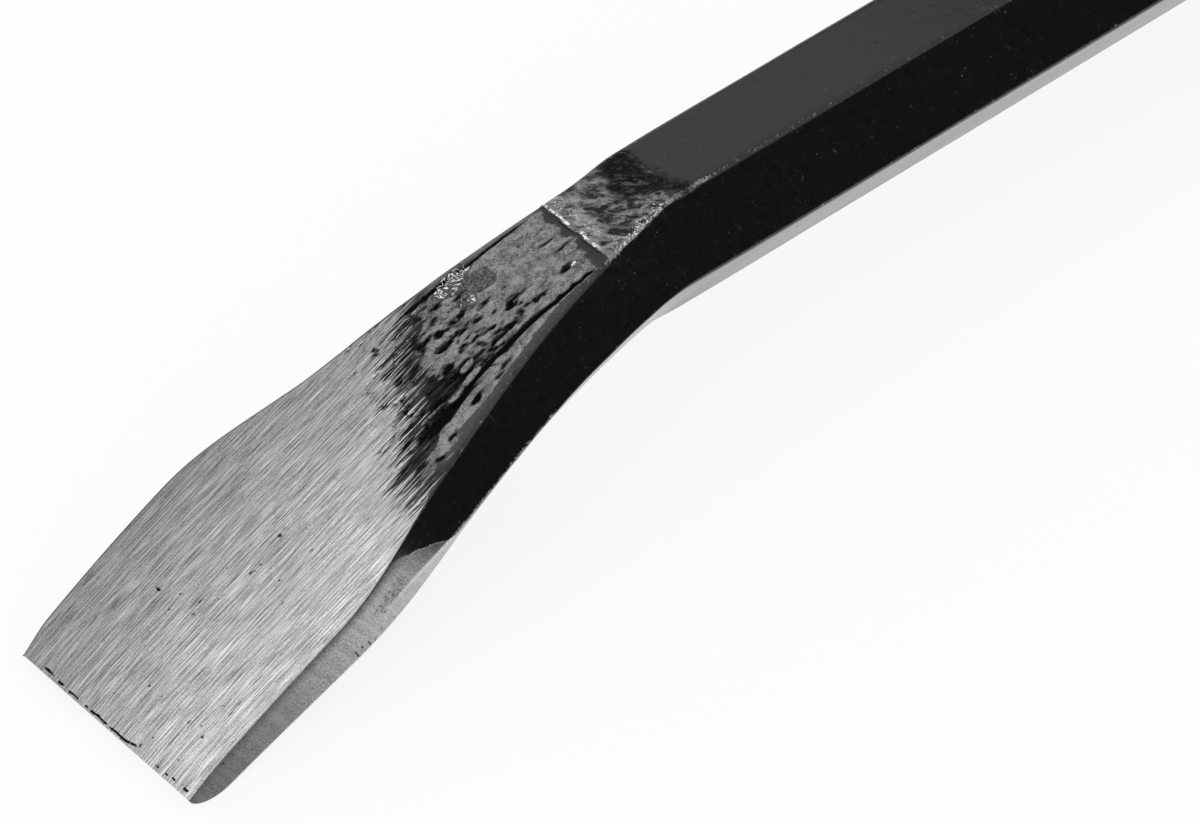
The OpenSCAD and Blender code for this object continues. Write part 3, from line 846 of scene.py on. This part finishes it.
def fine_relief(t, m, dark):
    """Height in millimetres of what is too small for the mesh."""
    return t.total(
        (t.times(m.streak, m.ground), 0.006), (t.times(m.fine, m.ground), 0.003),
        (t.times(m.peel, t.off(m.ground)), 0.020),
        (t.times(m.spot, t.calc("ADD", m.torn, m.crumpled)), 0.060), (m.scaled, 0.030), (dark, -0.060),
        (t.times(m.grit, t.most(m.scaled, m.crumpled)), 0.020))


def bar_finish(name):
    """Ground steel, mill scale and black lacquer in one finish, which the marks tell apart."""
    t = Tree(bpy.data.materials.new(name))
    m = read_surface(t)
    add_layers(t, m)
    dark = blackness(t, m)
    colour = t.mix(m.ground, covered_grey(t, m), steel_grey(t, m))
    colour = t.mix(m.fleck, t.mix(dark, colour, VOID), TORN)
    metal = t.most(m.ground, m.fleck, dark, clamp=True)
    bump = t.node("ShaderNodeBump", {"Strength": 1.0, "Distance": MM, "Height": fine_relief(t, m, dark)})
    rgb = t.node("ShaderNodeCombineColor", {0: colour, 1: colour, 2: colour})
    shader = t.node("ShaderNodeBsdfPrincipled", {
        "Base Color": rgb.outputs[0], "Metallic": metal, "Roughness": layer_roughness(t, m, dark),
        "Specular IOR Level": GLOSS, "Normal": bump.outputs[0]})
    t.node("ShaderNodeOutputMaterial", {"Surface": shader.outputs[0]})
    return t.owner


GROUND_STEEL = bar_finish("ground_steel")
BLACK_LACQUER = bar_finish("black_lacquer")


def dress(piece, node, material):
    """Gives a piece its finish and puts it in its solid's place."""
    piece.data.materials.clear()
    piece.data.materials.append(material)
    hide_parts(node)
    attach(piece, "root")


# The six zones of the bar
CLOSE = 130.0       # the stretch of the shank that has the finer rows
NOSE_ROWS = 25


def nose_rows():
    """Rows that crowd towards the cutting edge."""
    u = np.linspace(0, 1, NOSE_ROWS + 1)[1:]
    return LAND_AT + (EDGE_AT - LAND_AT) * np.sin(u * math.pi / 2)


def chisel_piece(name, s, segments, cut=None):
    return bar_piece(name, s, segments, CHISEL_STATIONS, at_chisel, chisel_marks, cut=cut)


def from_bend(s, h):
    """Claw end's place in the coordinates of the whole bar, which count from the chisel's bend."""
    return FAR_END - s, -h


def claw_piece(name, s, segments, rail=None, normals=True):
    return bar_piece(name, s, segments, CLAW_STATIONS, at_claw, claw_marks, rail=rail, normals=normals)


neck = chisel_piece("forged_neck", rows(0, NECK_AT, 0.22), FINE)
dress(neck, "chisel_neck", BLACK_LACQUER)

blade_s = np.concatenate([rows(NECK_AT, LAND_AT, 0.24)[:-1], nose_rows(), [EDGE_AT]])
blade = chisel_piece("ground_blade", blade_s, FINE, nose_cut)
dress(blade, "chisel_blade", GROUND_STEEL)

shank_s = np.concatenate([rows(FAR_END, -CLOSE, 5.0, 0.6)[:-1], rows(-CLOSE, 0, 0.8)[2:]])
shank = chisel_piece("hexagonal_shank", shank_s, PLAIN)
dress(shank, "shank", BLACK_LACQUER)

bow = claw_piece("gooseneck_bow", rows(0, HEX_AT, 0.6, 0.6), PLAIN, from_bend)
dress(bow, "gooseneck", BLACK_LACQUER)

root = claw_piece("flattened_root", rows(HEX_AT, CLAW_AT, 0.4), CLAW, from_bend)
dress(root, "claw_root", BLACK_LACQUER)


# The claw, whose slot is cut out of its solid
def slot_outline(grow):
    """The slot seen square on: straight flanks that run tangent into a round root."""
    r, m, c = SLOT_ROOT_R + grow, SLOT_MOUTH / 2 + grow, SLOT_ROOT_R - SLOT_LEN
    touch = math.atan2(m, -c) + math.acos(r / math.hypot(c, m))
    widen = (m - r * math.sin(touch)) / (-c - r * math.cos(touch))
    margin = 4.0
    arc = [touch + (2 * math.pi - 2 * touch) * i / ARC_STEPS for i in range(ARC_STEPS + 1)]
    bottom = [(c + r * math.cos(a), r * math.sin(a)) for a in arc]
    return [(margin, m + widen * margin), *bottom, (margin, -m - widen * margin)]


def slot_cutter(name, low, high, grow_low, grow_high):
    """A prism or taper through the claw, between two heights above its middle plane."""
    tip, middle = claw_line(np.array([TIP_AT])), claw_line(np.array([TIP_AT - SLOT_LEN / 2]))
    turn = float(middle[2][0])
    points = []
    for z, grow in ((low, grow_low), (high, grow_high)):
        for x, y in slot_outline(grow):
            points.append((HALF_SHANK + float(tip[0][0]) + x * math.cos(turn) - z * math.sin(turn), y,
                           float(tip[1][0]) + x * math.sin(turn) + z * math.cos(turn)))
    n = len(points) // 2
    faces = [list(range(n))[::-1], list(range(n, 2 * n))]
    faces += [[i, (i + 1) % n, n + (i + 1) % n, n + i] for i in range(n)]
    mesh = bpy.data.meshes.new(name)
    mesh.from_pydata([tuple(v * MM for v in p) for p in points], [], faces)
    mesh.update()
    return link(name, mesh)


def cut_away(piece, cutter):
    """Takes the cutter's solid out of the piece."""
    bpy.context.view_layer.update()
    made = piece.modifiers.new("cut", "BOOLEAN")
    made.operation, made.solver, made.object = "DIFFERENCE", "EXACT", cutter
    result = bpy.data.meshes.new_from_object(piece.evaluated_get(bpy.context.evaluated_depsgraph_get()))
    piece.modifiers.clear()
    piece.data = result
    bpy.data.objects.remove(cutter)


def on_claw(points):
    """The claw coordinates s, y, h of points in the claw's stretch of the bar."""
    start, full = claw_line(np.array([CLAW_AT])), CLAW_AT / BOW_R
    centre = (HALF_SHANK + start[0][0] - CLAW_R * math.sin(full), start[1][0] + CLAW_R * math.cos(full))
    x, z = points[:, 0] - centre[0], points[:, 2] - centre[1]
    turn = np.unwrap(np.arctan2(x, -z))
    turn = np.where(turn < 0, turn + 2 * math.pi, turn)
    return CLAW_AT + (turn - full) * CLAW_R, points[:, 1], np.hypot(x, z) - CLAW_R


SHARP = math.radians(28)        # edges that turn by more than this stay crisp on the claw


def mark_claw(mesh):
    """Works the marks out again on the points that the cuts left."""
    co = np.zeros(len(mesh.vertices) * 3)
    mesh.vertices.foreach_get("co", co)
    s, y, h = on_claw(co.reshape(-1, 3) / MM)
    for old in [a.name for a in mesh.attributes if a.name in ("rail", "grain", *MARK_SETS)]:
        mesh.attributes.remove(mesh.attributes[old])
    zero = np.zeros_like(s)
    half = eased(CLAW_STATIONS, np.clip(s, CLAW_AT, TIP_AT))
    side = smooth(-0.5, -0.1, np.abs(y) - half[:, 4])
    found = claw_marks(Points(s, y, h, half[:, 1], half[:, 2], zero, zero))
    found.update(top=zero, side=side, relief=zero)
    attribute(mesh, "rail", [FAR_END - s, y, -h])
    attribute(mesh, "grain", grain_of(s, y, h, side))
    keep_marks(mesh, found)
    mesh.polygons.foreach_set("use_smooth", np.ones(len(mesh.polygons), bool))
    mesh.set_sharp_from_angle(angle=SHARP)


claw = claw_piece("forked_claw", rows(CLAW_AT, TIP_AT, 0.36), CLAW, normals=False)
cut_away(claw, slot_cutter("slot", -CLAW_T, CLAW_T, 0.0, 0.0))
cut_away(claw, slot_cutter("bevel", -TIP_T, CLAW_T, 0.0, SLOT_BEVEL * (CLAW_T + TIP_T) / CLAW_T))
mark_claw(claw.data)
dress(claw, "nail_claw", GROUND_STEEL)


# Floor, white surroundings, one lamp and two dark cards
FLOOR_GREY = 0.9
FLOOR_GLOW = 0.85       # share that shines by itself where it is only looked at
FLOOR_SIZE = 30.0
DOME = 0.88             # strength of the surroundings as light


def seen_or_mirrored(t):
    """1 where the camera, a shine or clear material looks, and 0 for plain light."""
    path = t.node("ShaderNodeLightPath").outputs
    bounced = t.calc("ADD", path["Is Glossy Ray"], path["Is Transmission Ray"])
    return t.calc("ADD", path["Is Camera Ray"], bounced, clamp=True)


def white_floor():
    """Pale floor, close to white where the camera or a shine sees it, with a light shadow."""
    t = Tree(bpy.data.materials.new("white_floor"))
    plain = t.node("ShaderNodeBsdfDiffuse", {"Color": (FLOOR_GREY, FLOOR_GREY, FLOOR_GREY, 1)})
    glow = t.node("ShaderNodeEmission", {"Strength": 1.0})
    share = t.times(seen_or_mirrored(t), FLOOR_GLOW)
    both = t.node("ShaderNodeMixShader", {0: share, 1: plain.outputs[0], 2: glow.outputs[0]})
    t.node("ShaderNodeOutputMaterial", {"Surface": both.outputs[0]})
    return t.owner


def resting_lean():
    """The blade's point that touches the floor, and the floor's lean that lets the bow touch it too."""
    reach = BOW_R + STOCK_R
    tilt = 0.0
    for _ in range(4):
        heel = Vector((HALF_SHANK + reach * math.sin(tilt), 0, BOW_R - reach * math.cos(tilt))) * MM
        toe = max((v.co for v in blade.data.vertices), key=lambda v: (heel.z - v.z) / (heel.x - v.x))
        tilt = math.atan2(heel.z - toe.z, heel.x - toe.x)
    return toe, tilt


bpy.context.view_layer.update()
toe, tilt = resting_lean()
bpy.ops.mesh.primitive_plane_add(size=FLOOR_SIZE, location=(toe.x, 0, toe.z))
floor = bpy.context.object
floor.name = "floor"
floor.rotation_euler = (0, -tilt, 0)
floor.data.materials.append(white_floor())


def soft_lamp(name, place, aim, size, power):
    """A round lamp that looks at a point."""
    data = bpy.data.lights.new(name, "AREA")
    data.shape, data.size, data.energy = "DISK", size, power
    lamp = link(name, data)
    lamp.location = place
    lamp.rotation_mode = "QUATERNION"
    lamp.rotation_quaternion = (Vector(aim) - Vector(place)).to_track_quat("-Z", "Y")


soft_lamp("key", place=(-1.5, -0.6, 1.6), aim=(-0.25, 0, 0), size=1.3, power=9.0)

# Dark cards stand beside and behind the bar and are seen only in its shine:
# place, size along the bar, size across it, lean in degrees
CARDS = {
    "front_card": ((0.05, -0.055, -0.004), 0.70, 0.07, 90),
    "upper_card": ((0.07, 0.20, 0.20), 0.18, 0.30, 0)}
CARD_GREY = 0.01


def card_finish():
    """Flat near-black without any gloss."""
    t = Tree(bpy.data.materials.new("dark_card"))
    shader = t.node("ShaderNodeBsdfPrincipled", {"Base Color": (CARD_GREY, CARD_GREY, CARD_GREY, 1),
                                                 "Roughness": 1.0, "Specular IOR Level": 0.0})
    t.node("ShaderNodeOutputMaterial", {"Surface": shader.outputs[0]})
    return t.owner


dark_card = card_finish()
for name, (place, long, wide, lean) in CARDS.items():
    bpy.ops.mesh.primitive_plane_add(size=1.0, location=place)
    card = bpy.context.object
    card.name = name
    card.scale = (long, wide, 1)
    card.rotation_euler = (math.radians(lean), 0, 0)
    card.data.materials.append(dark_card)
    card.visible_camera = card.visible_diffuse = card.visible_shadow = card.visible_transmission = False


def white_world():
    """White surroundings, a little less bright as light than where they are seen."""
    t = Tree(bpy.data.worlds.new("white"))
    strength = t.node("ShaderNodeMapRange", {"Value": seen_or_mirrored(t), "To Min": DOME})
    background = t.node("ShaderNodeBackground", {"Strength": strength.outputs[0], "Color": (1, 1, 1, 1)})
    t.node("ShaderNodeOutputWorld", {"Surface": background.outputs[0]})
    return t.owner


bpy.context.scene.world = white_world()

# Camera: where the photograph was taken from
AZIMUTH, ELEVATION, ROLL = math.radians(-40.986), math.radians(44.007), math.radians(-0.286)
EYE = Vector((-0.63662, -0.44828, 0.54910))
SENSOR = 36.0
FOCAL_PIXELS = 7037.9
PHOTO_WIDTH = 1200
NEAR, FAR = 0.05, 60.0


def photo_camera():
    """Long lens that looks down on the chisel end."""
    flat = math.cos(ELEVATION)
    back = Vector((math.sin(AZIMUTH) * flat, -math.cos(AZIMUTH) * flat, math.sin(ELEVATION)))
    right = Vector((0, 0, 1)).cross(back).normalized()
    up = back.cross(right)
    right, up = right * math.cos(ROLL) + up * math.sin(ROLL), up * math.cos(ROLL) - right * math.sin(ROLL)
    data = bpy.data.cameras.new("camera")
    data.lens, data.sensor_width = FOCAL_PIXELS / PHOTO_WIDTH * SENSOR, SENSOR
    data.clip_start, data.clip_end = NEAR, FAR
    camera = link("camera", data)
    camera.matrix_world = Matrix((right, up, back)).transposed().to_4x4()
    camera.location = EYE
    return camera


bpy.context.scene.camera = photo_camera()
bpy.context.scene.view_settings.view_transform = "Standard"
